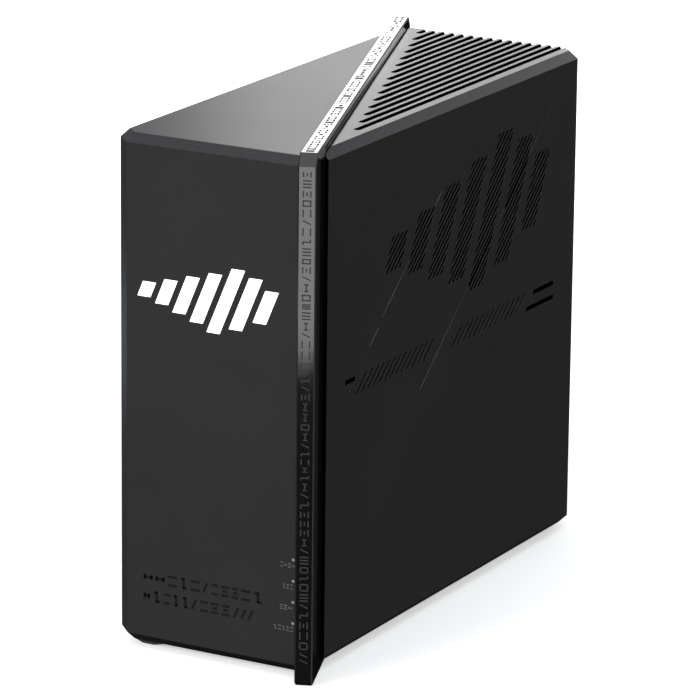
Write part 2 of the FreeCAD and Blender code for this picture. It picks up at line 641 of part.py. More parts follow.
def inner_frame():
    """The plate that carries the board, with standoffs and two tabs that reach the band."""
    front, back = "Sizes.frame_front_gap - Worked.half_depth", "Worked.half_depth - Sizes.frame_back_gap"
    across = ("Worked.frame_left", "Worked.frame_right")
    plate = box("frame_plate", across, (front, back), ("Worked.frame_low", "Worked.frame_top"))
    solids = [plate]
    crossing = "-(Worked.frame_left + Worked.frame_right) / 2 * Sizes.depth / Sizes.width"
    for i, (low, high) in enumerate((("Sizes.band_depth", "Worked.frame_low + 1"),
                                     ("Worked.frame_top - 1", "Sizes.height - Sizes.band_depth"))):
        solids.append(box(f"frame_tab_{i}", across, around(crossing, "Sizes.frame_tab"),
                          (low, high)))
    tools = []
    for i, (y, z) in enumerate(BOARD_SPOTS):
        solids.append(rod(f"standoff_{i}", "Sizes.post_radius", "Sizes.standoff",
                          "Worked.frame_right", y, z, "X"))
        tools.append(rod(f"standoff_hole_{i}", "Sizes.screw_radius + Sizes.fit",
                         "Sizes.standoff + 1", "Worked.frame_right", y, z, "X"))
    for i, (y, z) in enumerate(PIN_SPOTS):
        tools.append(rod(f"frame_pin_hole_{i}", "Sizes.pin_radius + Sizes.fit",
                         "Sizes.frame_thick + 2", "Worked.frame_left - 1", y, z, "X"))
    for i, (y, z) in enumerate(POST_SPOTS):
        tools.append(rod(f"frame_screw_hole_{i}", "Sizes.screw_radius + Sizes.hole_play",
                         "Sizes.frame_thick + 2", "Worked.frame_left - 1", y, z, "X"))
    spans = (("-Sizes.frame_window_high_y", "-Sizes.frame_window_low_y"),
             ("Sizes.frame_window_low_y", "Sizes.frame_window_high_y"))
    for i, span in enumerate(spans):
        tools.append(box(f"frame_window_{i}", ("Worked.frame_left - 1", "Worked.frame_right + 1"),
                         span, ("Worked.frame_low + Sizes.frame_rim",
                                "Worked.frame_top - Sizes.frame_rim")))
    return node("inner_frame", cut("frame", fuse("frame_solid", solids), tools))


def main_board():
    board = box("board_plate", ("Sizes.board_x", "Worked.board_right"),
                ("Worked.board_front", "Worked.board_back"), ("Worked.board_low", "Worked.board_top"))
    holes = [
        rod(f"board_hole_{i}", "Sizes.screw_radius + Sizes.hole_play", "Sizes.board_thick + 2",
            "Sizes.board_x - 1", y, z, "X")
        for i, (y, z) in enumerate(BOARD_SPOTS)
    ]
    # room for the rear cover's posts, wherever a taller board would meet them
    holes += [
        rod(f"board_post_room_{i}", "Sizes.post_radius + Sizes.hole_play", "Sizes.board_thick + 2",
            "Sizes.board_x - 1", y, z, "X")
        for i, (y, z) in enumerate(POST_SPOTS)
    ]
    return node("main_board", cut("board", board, holes))


def screw(name, x, y, z, length, facing):
    """A pan head screw along X; facing is +1 where its head looks along +X."""
    head_x = x if facing > 0 else f"{x} - Sizes.screw_head"
    shank_x = f"{x} - ({length})" if facing > 0 else x
    head = rod(name + "_head", "Sizes.screw_head_radius", "Sizes.screw_head", head_x, y, z, "X")
    shank = rod(name + "_shank", "Sizes.screw_radius", length, shank_x, y, z, "X")
    slot_x = f"{x} + Sizes.screw_head / 2" if facing > 0 else f"{x} - Sizes.screw_head - 1"
    slots = [
        box(f"{name}_slot_{i}", (slot_x, f"{slot_x} + Sizes.screw_head / 2 + 1"),
            around(y, f"Sizes.screw_slot_{across}"), around(z, f"Sizes.screw_slot_{up}"))
        for i, (across, up) in enumerate((("width", "length"), ("length", "width")))
    ]
    return cut(name, fuse(name + "_blank", [head, shank]), slots)


def board_screws():
    screws = [
        screw(f"board_screw_{i}", "Worked.board_right", y, z, "Sizes.board_thick + Sizes.standoff",
              1)
        for i, (y, z) in enumerate(BOARD_SPOTS)
    ]
    return node("board_screws", group("board_screw_set", screws))


def cover_screws():
    screws = [
        screw(f"cover_screw_{i}", "Worked.frame_left", y, z, "Sizes.frame_thick + Sizes.screw_bite",
              -1)
        for i, (y, z) in enumerate(POST_SPOTS)
    ]
    return node("cover_screws", group("cover_screw_set", screws))


# ---------------------------------------------------------------- cooling and electronics
CHIP_ROWS = ("Sizes.sink_low + (Worked.sink_high - Sizes.sink_low) / 3",
             "Worked.sink_high - Sizes.chip_top_gap")
# each chip's place along Y, its row and the length of its side
CHIPS = [(-22.0, 0, 22.0), (16.0, 0, 16.0), (-22.0, 1, 14.0), (16.0, 1, 14.0)]


def chips_and_pads():
    """The processor, the two radio chips and the memory, each under a soft thermal pad."""
    chips, pads = [], []
    for i, (y, row, size) in enumerate(CHIPS):
        spread = (around(y, size), around(CHIP_ROWS[row], size))
        chips.append(box(f"chip_{i}", ("Worked.board_right", "Worked.board_right + Sizes.chip_thick"),
                         *spread))
        pads.append(box(f"pad_{i}", ("Worked.board_right + Sizes.chip_thick", "Worked.sink_foot"),
                        *spread))
    node("board_chips", group("chip_set", chips))
    node("thermal_pads", group("pad_set", pads))


def heat_sink():
    """A base plate with upright fins in a row along the board."""
    body = new_body("sink")
    base = new_sketch(body, "sink_base_plan", "XY_Plane", "Sizes.sink_low")
    half = "Sizes.sink_length / 2"
    draw_polygon(base, [
        ("Worked.sink_foot", f"-{half}"), ("Worked.sink_foot + Sizes.sink_base", f"-{half}"),
        ("Worked.sink_foot + Sizes.sink_base", half), ("Worked.sink_foot", half),
    ])
    pad(body, base, "Worked.sink_high - Sizes.sink_low").Label = "sink_base"
    fin = new_sketch(body, "sink_fin_plan", "XY_Plane", "Sizes.sink_low")
    tip = "Worked.inner_x - Sizes.sink_air"
    first = f"-{half} + Sizes.fin_inset"
    draw_polygon(fin, [
        ("Worked.sink_foot + Sizes.sink_base - Sizes.fin_root", first), (tip, first),
        (tip, f"{first} + Sizes.fin_thick"),
        ("Worked.sink_foot + Sizes.sink_base - Sizes.fin_root", f"{first} + Sizes.fin_thick"),
    ])
    one_fin = pad(body, fin, "Worked.sink_high - Sizes.sink_low")
    one_fin.Label = "sink_fin"
    row = body.newObject("PartDesign::LinearPattern", "sink_fins")
    row.Originals = [one_fin]
    row.Direction = ([item for item in body.Origin.OriginFeatures if item.Role == "Y_Axis"][0], [""])
    row.Mode = "Spacing"
    row.setExpression("Offset", "Sizes.fin_pitch")
    row.Occurrences = FIN_COUNT
    body.Tip = row
    doc.recompute()
    return node("heat_sink", body)


def shield_can(name, y, z):
    """A pressed lid over a radio section, hollow and open towards the board."""
    long, tall, sheet = "Sizes.can_long", "Sizes.can_tall", "Sizes.can_sheet"
    outer = box(name + "_outer", ("Worked.board_right", "Worked.board_right + Sizes.can_high"),
                (y, f"{y} + {long}"), (z, f"{z} + {tall}"))
    inner = box(name + "_inner",
                ("Worked.board_right - 1", f"Worked.board_right + Sizes.can_high - {sheet}"),
                (f"{y} + {sheet}", f"{y} + {long} - {sheet}"),
                (f"{z} + {sheet}", f"{z} + {tall} - {sheet}"))
    return cut(name, outer, [inner])


# places on the board, in mm along Y and up from its lower edge
SHIELD_PLACES = ((-88.0, 22.0), (-88.0, 96.0))
CAPACITOR_PLACES = ((-84.0, 66.0), (-76.0, 66.0), (-84.0, 76.0), (-76.0, 76.0), (70.0, 126.0),
                    (70.0, 136.0))


def board_fittings():
    """Shield cans, capacitors and the socket transformers."""
    cans = [
        shield_can(f"shield_{i}", y, f"Worked.board_low + {up}")
        for i, (y, up) in enumerate(SHIELD_PLACES)
    ]
    node("shield_cans", group("shield_set", cans))
    drums = [
        rod(f"capacitor_{i}", "Sizes.capacitor_radius", "Sizes.capacitor_tall",
            "Worked.board_right", y, f"Worked.board_low + {up}", "X")
        for i, (y, up) in enumerate(CAPACITOR_PLACES)
    ]
    node("capacitors", group("capacitor_set", drums))
    back = "Worked.jack_front - Sizes.transformer_gap"
    magnetics = [
        box(f"magnetics_{i}", ("Worked.board_right", "Worked.board_right + Sizes.transformer_high"),
            (f"{back} - Sizes.transformer_deep", back), around(z, "Sizes.transformer_wide"))
        for i, z in enumerate(lan_heights() + ["Worked.wan_z"])
    ]
    node("socket_transformers", group("transformer_set", magnetics))


# ---------------------------------------------------------------- sockets
def lan_heights():
    return [f"Worked.lan_z + {i} * Worked.lan_pitch" for i in range(LAN_COUNT)]


def jack_x_range():
    """The plug's opening, across the jack, clear of the board side's contacts."""
    low = "Worked.board_right + Sizes.plug_rise"
    return (low, f"{low} + Sizes.plug_tall")


def network_jack(name, z):
    """An eight-way jack with the stepped slot for the plug's latch, open towards the back."""
    mouth = ("Worked.half_depth - Sizes.plug_deep", "Worked.half_depth + 1")
    block = box(name + "_block", ("Worked.board_right", "Worked.board_right + Sizes.jack_tall"),
                ("Worked.jack_front", "Worked.half_depth"), around(z, "Sizes.jack_wide"))
    low, high = jack_x_range()
    opening = box(name + "_opening", (low, high), mouth, around(z, "Sizes.plug_wide"))
    step = box(name + "_step", (f"{low} - Sizes.latch_tall", low), mouth,
               around(z, "Sizes.latch_wide"))
    return node(name, cut(name + "_shell", block, [opening, step]))


def contact_set():
    """Eight straight wires in each jack, along the plug's opening."""
    wires = []
    _, high = jack_x_range()
    for jack, z in enumerate(lan_heights() + ["Worked.wan_z"]):
        for i in range(CONTACT_COUNT):
            across = f"({z}) + ({i} - {CONTACT_COUNT - 1} / 2) * {CONTACT_PITCH}"
            top = f"{high} - Sizes.contact_drop"
            wires.append(box(f"contact_{jack}_{i}", (f"{top} - Sizes.contact_thick", top),
                             ("Worked.half_depth - Sizes.plug_deep",
                              "Worked.half_depth - Sizes.contact_set_back"),
                             around(across, "Sizes.contact_wide")))
    return node("jack_contacts", group("contact_wires", wires))


def jack_lights():
    """The two small light windows above each plug opening."""
    windows = []
    low = "Worked.board_right + Sizes.light_rise"
    for jack, z in enumerate(lan_heights() + ["Worked.wan_z"]):
        for side in (-1, 1):
            windows.append(box(f"jack_light_{jack}_{side + 1}",
                               (low, f"{low} + Sizes.light_tall"),
                               ("Worked.half_depth", "Worked.half_depth + Sizes.light_proud"),
                               around(f"({z}) + {side} * Sizes.light_spread",
                                      "Sizes.light_wide")))
    return node("jack_lights", group("jack_light_set", windows))


USB_X = "Worked.board_right + Sizes.usb_rise + Sizes.usb_tall / 2"


def usb_socket():
    x = around(USB_X, "Sizes.usb_tall")
    front = "Worked.half_depth - Sizes.usb_deep"
    outer = box("usb_outer", x, (front, "Worked.half_depth"), around("Worked.usb_z", "Sizes.usb_wide"))
    inner = box("usb_inner", (f"{x[0]} + Sizes.usb_sheet", f"{x[1]} - Sizes.usb_sheet"),
                (f"{front} + Sizes.usb_sheet", "Worked.half_depth + 1"),
                around("Worked.usb_z", "Sizes.usb_wide - 2 * Sizes.usb_sheet"))
    node("usb_shell", cut("usb_sheet_metal", outer, [inner]))
    back = box("usb_tongue_root", (f"{x[0]} + Sizes.usb_sheet", f"{x[1]} - Sizes.usb_sheet"),
               (f"{front} + Sizes.usb_sheet", f"{front} + Sizes.usb_sheet + Sizes.usb_root"),
               around("Worked.usb_z", "Sizes.usb_wide - 2 * Sizes.usb_sheet"))
    face = f"{x[0]} + Sizes.usb_tongue_drop"
    tongue = box("usb_tongue_blade", (face, f"{face} + Sizes.usb_tongue_thick"),
                 (f"{front} + Sizes.usb_root", "Worked.half_depth - Sizes.usb_tongue_back"),
                 around("Worked.usb_z", "Sizes.usb_tongue_wide"))
    node("usb_tongue", fuse("usb_insulator", [back, tongue]))


def power_inlet():
    """The round inlet for the mains adapter's plug and its centre pin."""
    x = "(Worked.board_right + Sizes.power_in_tall / 2)"
    block = box("inlet_block", ("Worked.board_right", "Worked.board_right + Sizes.power_in_tall"),
                ("Worked.half_depth - Sizes.power_in_deep", "Worked.half_depth"),
                around("Worked.power_in_z", "Sizes.power_in_wide"))
    bore = rod("inlet_bore", "Sizes.power_in_bore", "Sizes.power_in_reach + 1", x,
               "Worked.half_depth - Sizes.power_in_reach", "Worked.power_in_z", "Y")
    node("power_inlet", cut("inlet", block, [bore]))
    pin = rod("inlet_pin", "Sizes.power_in_pin", "Sizes.power_in_reach - 1", x,
              "Worked.half_depth - Sizes.power_in_reach", "Worked.power_in_z", "Y")
    node("power_inlet_pin", pin)


# ---------------------------------------------------------------- the back panel and its buttons
def port_panel():
    """The plate that fills the window in the back, with a hole for each socket and button."""
    fit = "Sizes.panel_fit"
    face = box("panel_face", (f"Sizes.panel_left + {fit}", f"Sizes.panel_right - {fit}"),
               ("Worked.inner_y - Sizes.panel_lap", "Worked.panel_out"),
               (f"Worked.panel_low + {fit}", f"Worked.panel_top - {fit}"))
    lip = box("panel_rim", ("Sizes.panel_left - Sizes.panel_lip", "Sizes.panel_right + Sizes.panel_lip"),
              ("Worked.inner_y - Sizes.panel_lip_thick", "Worked.inner_y"),
              ("Worked.panel_low - Sizes.panel_lip", "Worked.panel_top + Sizes.panel_lip"))
    through = ("Worked.inner_y - 5", "Worked.half_depth + 1")
    room = "2 * Sizes.socket_fit"
    tools = []
    for i, z in enumerate(lan_heights() + ["Worked.wan_z"]):
        tools.append(box(f"panel_jack_{i}", around("Worked.jack_x", f"Sizes.jack_tall + {room}"),
                         through, around(z, f"Sizes.jack_wide + {room}")))
    tools.append(box("panel_usb", around(USB_X, f"Sizes.usb_tall + {room}"), through,
                     around("Worked.usb_z", f"Sizes.usb_wide + {room}")))
    tools.append(box("panel_inlet", around("Worked.board_right + Sizes.power_in_tall / 2",
                                           f"Sizes.power_in_tall + {room}"), through,
                     around("Worked.power_in_z", f"Sizes.power_in_wide + {room}")))
    key_room = "Sizes.power_key_size + 2 * Sizes.key_play"
    tools.append(box("panel_power", around("Sizes.key_x", key_room), through,
                     around("Worked.power_key_z", key_room)))
    for name, radius, z in (("wps", "Sizes.wps_radius", "Worked.wps_z"),
                            ("reset", "Sizes.reset_radius", "Worked.reset_z")):
        tools.append(rod(f"panel_{name}", f"{radius} + Sizes.key_play", "10", "Sizes.key_x",
                         "Worked.inner_y - 5", z, "Y"))
    return node("port_panel", cut("panel", fuse("panel_solid", [face, lip]), tools))


FLANGE_BACK = "(Worked.inner_y - Sizes.panel_lip_thick - Sizes.key_play)"


STEM_END = f"({FLANGE_BACK} - Sizes.key_flange_thick - Sizes.key_stem_length)"


def push_switch(name, z, travel, stem_end):
    """A switch on the board and the plunger that the button pushes into it."""
    size = "Sizes.switch_size"
    back = f"({stem_end} - Sizes.plunger_radius)"
    grip = f"({back} - Sizes.plunger_grip)"
    floor = f"{grip} - {travel} - Sizes.plunger_spare"
    block = box(name + "_block", around("Sizes.key_x", size), (f"{back} - Sizes.switch_deep", back),
                around(z, size))
    legs = box(name + "_leg", ("Worked.board_right", f"Sizes.key_x - {size} / 2"),
               (f"{back} - Sizes.switch_deep", back), around(z, "Sizes.switch_leg"))
    pocket = rod(name + "_pocket", "Sizes.plunger_radius + Sizes.plunger_play",
                 f"{back} - ({floor}) + 1", "Sizes.key_x", floor, z, "Y")
    node(name + "_switch", cut(name + "_housing", fuse(name + "_solid", [block, legs]), [pocket]))
    plunger = rod(name + "_rod", "Sizes.plunger_radius", f"{stem_end} - {grip}", "Sizes.key_x", grip,
                  z, "Y")
    return node(name + "_plunger", plunger)


def power_button():
    """A square key that stands proud of the panel, with a flange that holds it in."""
    z, size = "Worked.power_key_z", "Sizes.power_key_size"
    cap = box("power_cap", around("Sizes.key_x", size),
              (f"{FLANGE_BACK} - 1", "Worked.panel_out + Sizes.key_proud"), around(z, size))
    flange = box("power_flange", around("Sizes.key_x", f"{size} + 2 * Sizes.key_flange"),
                 (f"{FLANGE_BACK} - Sizes.key_flange_thick", FLANGE_BACK),
                 around(z, f"{size} + 2 * Sizes.key_flange - 2 * Sizes.key_flange_trim"))
    stem = box("power_stem", around("Sizes.key_x", "Sizes.key_stem"), (STEM_END, FLANGE_BACK),
               around(z, "Sizes.key_stem"))
    node("power_button", fuse("power_key", [cap, flange, stem]))
    push_switch("power", z, "Sizes.power_key_travel", STEM_END)


def round_button(name, z, radius, out, flange_radius):
    cap = rod(name + "_cap", radius, f"{out} - ({FLANGE_BACK} - 1)", "Sizes.key_x",
              f"{FLANGE_BACK} - 1", z, "Y")
    flange = rod(name + "_flange", flange_radius, "Sizes.key_flange_thick", "Sizes.key_x",
                 f"{FLANGE_BACK} - Sizes.key_flange_thick", z, "Y")
    stem = rod(name + "_stem", "Sizes.key_stem / 2", f"{FLANGE_BACK} - {STEM_END}", "Sizes.key_x",
               STEM_END, z, "Y")
    node(name + "_button", fuse(name + "_key", [cap, flange, stem]))
    push_switch(name, z, f"Sizes.{name}_travel", STEM_END)


# ---------------------------------------------------------------- lights in the front
def emblem_lens():
    """The lit shapes, flush with the front face, on one flange behind the wall."""
    fit = "2 * Sizes.emblem_fit"
    blocks = emblem_blocks("lens_shape", "XZ_Plane", "Sizes.emblem_x", "Worked.emblem_z", "1",
                           "Sizes.emblem_fit", "Worked.half_depth - Sizes.wall / 2", "Sizes.wall")
    wide = f"Sizes.emblem_half_width + Sizes.lens_margin - {fit}"
    tall = f"Sizes.emblem_half_height + Sizes.lens_margin - {fit}"
    flange = box("lens_flange", around("Sizes.emblem_x", f"2 * ({wide})"),
                 ("-Worked.inner_y", "Worked.lens_back"), around("Worked.emblem_z", f"2 * ({tall})"))
    return node("emblem_lens", fuse("lens", blocks + [flange]))


def emblem_lighting():
    """A white box behind the lens, with its lamps on a small board."""
    wide = "2 * (Sizes.emblem_half_width + Sizes.lens_margin)"
    tall = "2 * (Sizes.emblem_half_height + Sizes.lens_margin)"
    wall = "2 * Sizes.light_box_wall"
    outer = box("light_box_outer", around("Sizes.emblem_x", f"{wide} + {wall}"),
                ("-Worked.inner_y", "Worked.box_back"), around("Worked.emblem_z", f"{tall} + {wall}"))
    inner = box("light_box_inner", around("Sizes.emblem_x", wide),
                ("-Worked.inner_y - 1", "Worked.box_back + 1"), around("Worked.emblem_z", tall))
    node("emblem_light_box", cut("light_box", outer, [inner]))
    board = box("emblem_board", around("Sizes.emblem_x", f"{wide} + {wall}"),
                ("Worked.box_back", "Worked.box_back + Sizes.led_board_thick"),
                around("Worked.emblem_z", f"{tall} + {wall}"))
    node("emblem_led_board", board)
    lamps = [
        box(f"emblem_lamp_{row}_{column}",
            around(f"Sizes.emblem_x + {column - 2} * Sizes.emblem_led_pitch", "Sizes.emblem_led_size"),
            ("Worked.box_back - Sizes.emblem_led_high", "Worked.box_back"),
            around(f"Worked.emblem_z + ({row} - 0.5) * Sizes.emblem_led_row_pitch",
                   "Sizes.emblem_led_size"))
        for row in range(2) for column in range(5)
    ]
    node("emblem_leds", group("emblem_lamp_set", lamps))


def status_lights():
    """Four light pipes on one carrier, and the small board that lights them."""
    pipes = [
        rod(f"status_pipe_{i}", "Sizes.status_radius", "Sizes.status_pipe_length",
            "Sizes.status_x", "-Worked.half_depth", status_height(i), "Y")
        for i in range(STATUS_COUNT)
    ]
    span = (f"{status_height(0)} - Sizes.status_carrier_spare",
            f"{status_height(STATUS_COUNT - 1)} + Sizes.status_carrier_spare")
    right = "Sizes.status_x + Sizes.status_carrier_right"
    carrier = box("status_carrier", ("Sizes.status_x - Sizes.status_carrier_left", right),
                  ("Worked.pipe_back - Sizes.status_carrier_thick", "Worked.pipe_back"), span)
    node("status_light_pipes", fuse("status_pipes", pipes + [carrier]))
    lamp = "Worked.pipe_back + Sizes.status_led_gap"
    face = f"{lamp} + Sizes.status_led_high"
    board = box("status_board", ("Sizes.status_x - Sizes.status_board_left", right),
                (face, f"{face} + Sizes.led_board_thick"), span)
    node("status_led_board", board)
    lamps = [
        box(f"status_lamp_{i}", around("Sizes.status_x", "Sizes.status_led_size"), (lamp, face),
            around(status_height(i), "Sizes.status_led_size"))
        for i in range(STATUS_COUNT)
    ]
    node("status_leds", group("status_lamp_set", lamps))


# ---------------------------------------------------------------- aerials, feet and label
def aerials():
    """Four flat aerials stuck to the inside of the side walls."""
    left_z = "Worked.post_top_z - Sizes.aerial_post_gap - Sizes.aerial_tall"
    for name, side, y, z in (("left_front", -1, -92.0, left_z), ("left_back", -1, 44.0, left_z),
                             ("right_front", 1, -88.0, "Sizes.aerial_right_z"),
                             ("right_back", 1, 84.0, "Sizes.aerial_right_z")):
        wall = ("-Worked.inner_x", "Sizes.aerial_thick - Worked.inner_x")
        if side > 0:
            wall = ("Worked.inner_x - Sizes.aerial_thick", "Worked.inner_x")
        node(f"aerial_{name}", box(f"aerial_strip_{name}", wall, (y, f"{y} + Sizes.aerial_wide"),
                                   (z, f"{z} + Sizes.aerial_tall")))


def foot_block(name):
    """A tapered rubber block under the front left corner, flush with the floor's edge cut."""
    item = doc.addObject("Part::Wedge", name)
    left = "Sizes.corner_cut + Sizes.foot_inset - Worked.half_width"
    front = "Sizes.edge_cut - Worked.half_depth"
    taper = "Sizes.foot_taper"
    # the wedge's own Y runs along +Z of the router, from the standing plane up to the floor
    bind(item, Xmin=f"{left} + {taper}", Xmax=f"{left} + Sizes.foot_width - 3 * {taper}",
         X2min=left, X2max=f"{left} + Sizes.foot_width", Ymin="0", Ymax="Sizes.body_clearance",
         Zmin=f"-({front} + Sizes.foot_length) + {taper}", Zmax=f"-({front}) - {taper}",
         Z2min=f"-({front} + Sizes.foot_length)", Z2max=f"-({front})")
    item.Placement = FreeCAD.Placement(Vector(0, 0, 0), Rotation(Vector(1, 0, 0), 90))
    return item


def feet():
    node("front_foot", foot_block("front_rubber"))
    node("rear_foot", half_turned("rear_rubber", foot_block("rear_rubber_block")))


def rating_label():
    label = box("label_strip", ("0", "Sizes.label_wide"),
                ("Sizes.label_y", "Sizes.label_y + Sizes.label_long"),
                ("Sizes.body_clearance - Sizes.label_thick", "Sizes.body_clearance"))
    return node("rating_label", label)


# ---------------------------------------------------------------- build, check and write
def build():
    front_left_cover()
    rear_right_cover()
    diagonal_band()
    inner_frame()
    main_board()
    board_screws()
    cover_screws()
    chips_and_pads()
    heat_sink()
    board_fittings()
    for i, z in enumerate(lan_heights(), start=1):
        network_jack(f"lan_jack_{i}", z)
    network_jack("wan_jack", "Worked.wan_z")
    contact_set()
    jack_lights()
    usb_socket()
    power_inlet()
    port_panel()
    power_button()
    round_button("wps", "Worked.wps_z", "Sizes.wps_radius", "Worked.panel_out + Sizes.key_proud / 2",
                 "Sizes.wps_radius + Sizes.key_flange")
    round_button("reset", "Worked.reset_z", "Sizes.reset_radius",
                 "Worked.panel_out - Sizes.reset_depth", "Sizes.reset_radius + Sizes.key_flange")
    emblem_lens()
    emblem_lighting()
    status_lights()
    aerials()
    feet()
    rating_label()
    doc.recompute()


def check():
    """Stop unless every object is sound and every sub-part has a valid shape."""
    for item in doc.Objects:
        if "Invalid" in item.State or "Error" in item.State:
            raise RuntimeError(f"{item.Name} failed: {item.State}")
    for item in nodes:
        if item.Shape.isNull() or not item.Shape.isValid():
            raise RuntimeError(f"{item.Label} has no valid shape")
        if not item.Shape.Solids:
            raise RuntimeError(f"{item.Label} has no solid")


def write():
    os.makedirs("parts", exist_ok=True)
    for item in nodes:
        item.Shape.exportStep(f"parts/{item.Label}.step")
        print(item.Label, len(item.Shape.Solids), round(item.Shape.Volume, 1))


build()
check()
write()
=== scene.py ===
"""Looks of the desktop wireless router: its covers, gloss band, marks, sockets and inner parts."""
import math
import random

import bmesh
import bpy
from mathutils import Matrix, Vector

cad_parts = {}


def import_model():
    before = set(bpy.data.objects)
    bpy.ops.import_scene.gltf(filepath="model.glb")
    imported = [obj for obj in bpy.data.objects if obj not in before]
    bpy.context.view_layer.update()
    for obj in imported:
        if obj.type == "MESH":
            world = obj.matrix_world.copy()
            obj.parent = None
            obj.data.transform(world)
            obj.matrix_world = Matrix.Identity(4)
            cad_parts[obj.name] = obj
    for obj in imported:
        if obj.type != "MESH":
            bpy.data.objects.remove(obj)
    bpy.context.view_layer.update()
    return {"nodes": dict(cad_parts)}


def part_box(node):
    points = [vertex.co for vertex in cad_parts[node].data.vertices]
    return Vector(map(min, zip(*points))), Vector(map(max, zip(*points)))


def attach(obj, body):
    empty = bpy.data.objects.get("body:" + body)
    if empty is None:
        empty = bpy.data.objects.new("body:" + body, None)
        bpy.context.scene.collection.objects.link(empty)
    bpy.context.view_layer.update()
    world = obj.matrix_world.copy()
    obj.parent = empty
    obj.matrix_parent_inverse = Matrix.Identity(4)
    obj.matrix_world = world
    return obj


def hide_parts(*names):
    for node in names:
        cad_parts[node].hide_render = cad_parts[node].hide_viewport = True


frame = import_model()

MM = 0.001
ROOT = "router"
SCENE = bpy.context.scene


# ---------------------------------------------------------------- places, all from the frame
LEFT_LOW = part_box("front_left_cover")[0]
PANEL_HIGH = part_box("port_panel")[1]
FRONT = LEFT_LOW.y
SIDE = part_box("rear_right_cover")[1].x
HALF_WIDTH = -LEFT_LOW.x
HALF_DEPTH = -LEFT_LOW.y
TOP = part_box("diagonal_band")[1].z
# the band runs along the body's diagonal, from front right (ALONG) to back left
DIAGONAL = math.hypot(HALF_WIDTH, HALF_DEPTH)
ALONG = Vector((HALF_WIDTH, -HALF_DEPTH, 0)) / DIAGONAL
ACROSS = Vector((HALF_DEPTH, HALF_WIDTH, 0)) / DIAGONAL
UP = Vector((0, 0, 1))
# how far the band's uprights reach past the body's corners, and its sloping ends
BAND_END = DIAGONAL + 6.3 * MM
BAND_END_CUT = 4.3 * MM
BAND_PROUD = 3.0 * MM
# ink stands this far off its surface; the socket marks sit this far from the panel's edge
PRINT_LIFT = 0.02 * MM
MARK_INSET = 5.4 * MM


# ---------------------------------------------------------------- colour and node helpers
def linear(code):
    """An sRGB hex colour as the linear colour that shaders take."""
    parts = [int(code[i:i + 2], 16) / 255 for i in (1, 3, 5)]
    return (*(p / 12.92 if p <= 0.04045 else ((p + 0.055) / 1.055) ** 2.4 for p in parts), 1.0)


def add_node(tree, kind, inputs=None, **settings):
    """Add a node. An input is linked where it is given a socket, and set where it is a value."""
    item = tree.nodes.new(kind)
    for name, setting in settings.items():
        setattr(item, name, setting)
    for name, given in (inputs or {}).items():
        if isinstance(given, bpy.types.NodeSocket):
            tree.links.new(given, item.inputs[name])
        else:
            item.inputs[name].default_value = given
    return item


def new_finish(name, inputs):
    """A material with one Principled shader; returns the material, its tree and the shader."""
    material = bpy.data.materials.new(name)
    material.use_nodes = True
    tree = material.node_tree
    tree.nodes.clear()
    shader = add_node(tree, "ShaderNodeBsdfPrincipled", inputs)
    add_node(tree, "ShaderNodeOutputMaterial", {"Surface": shader.outputs[0]})
    return material, tree, shader


def place_on(tree, scale=(1, 1, 1)):
    """Object coordinates through a Mapping node."""
    source = add_node(tree, "ShaderNodeTexCoord")
    return add_node(tree, "ShaderNodeMapping", {"Vector": source.outputs["Object"],
                                                "Scale": scale}).outputs[0]


def grain(tree, shader, size_mm, depth_mm, scale=(1, 1, 1)):
    """Moulded or ground texture of a real size, as bump."""
    noise = add_node(tree, "ShaderNodeTexNoise", {
        "Vector": place_on(tree, scale), "Scale": 1 / (size_mm * MM), "Detail": 2.0})
    bump = add_node(tree, "ShaderNodeBump", {
        "Height": noise.outputs["Fac"], "Strength": 1.0, "Distance": depth_mm * MM})
    tree.links.new(bump.outputs[0], shader.inputs["Normal"])


def vary(tree, shader, socket, low, high, size_mm, scale=(1, 1, 1)):
    """Let a number drift slowly over the surface between two values."""
    noise = add_node(tree, "ShaderNodeTexNoise", {
        "Vector": place_on(tree, scale), "Scale": 1 / (size_mm * MM), "Detail": 3.0})
    spread = add_node(tree, "ShaderNodeMapRange", {
        "Value": noise.outputs["Fac"], "From Min": 0.3, "From Max": 0.7,
        "To Min": low, "To Max": high})
    tree.links.new(spread.outputs[0], shader.inputs[socket])


def tint(tree, shader, low, high, size_mm, scale=(1, 1, 1)):
    """Let the colour drift between two near shades."""
    noise = add_node(tree, "ShaderNodeTexNoise", {
        "Vector": place_on(tree, scale), "Scale": 1 / (size_mm * MM), "Detail": 4.0})
    blend = add_node(tree, "ShaderNodeMix", {
        "Factor": noise.outputs["Fac"], 6: linear(low), 7: linear(high)}, data_type="RGBA")
    tree.links.new(blend.outputs[2], shader.inputs["Base Color"])


# ---------------------------------------------------------------- finishes
def moulded_cover(name, low, high, sheen):
    """Black ABS, moulded against a fine spark-eroded tool: a soft sheen, never a mirror."""
    material, tree, shader = new_finish(name, {
        "Roughness": 0.34, "IOR": 1.5, "Specular IOR Level": sheen})
    tint(tree, shader, low, high, 30)
    vary(tree, shader, "Roughness", 0.33, 0.345, 40)
    grain(tree, shader, 0.35, 0.003)
    return material


def gloss_band():
    """Piano black polycarbonate: a deep gloss that mirrors the room, with faint moulding waves."""
    material, tree, shader = new_finish("piano_black_polycarbonate", {
        "Base Color": linear("#19191b"), "Roughness": 0.06, "IOR": 1.55,
        "Specular IOR Level": 0.5})
    vary(tree, shader, "Roughness", 0.05, 0.09, 8)
    grain(tree, shader, 9.0, 0.004)
    return material


def printed_grey():
    """Pad-printed matt grey ink, slightly uneven at the edges of the dots."""
    material, tree, shader = new_finish("pad_printed_grey_ink", {
        "Roughness": 1.0, "Specular IOR Level": 0.0})
    tint(tree, shader, "#464647", "#4e4e4f", 0.6)
    return material


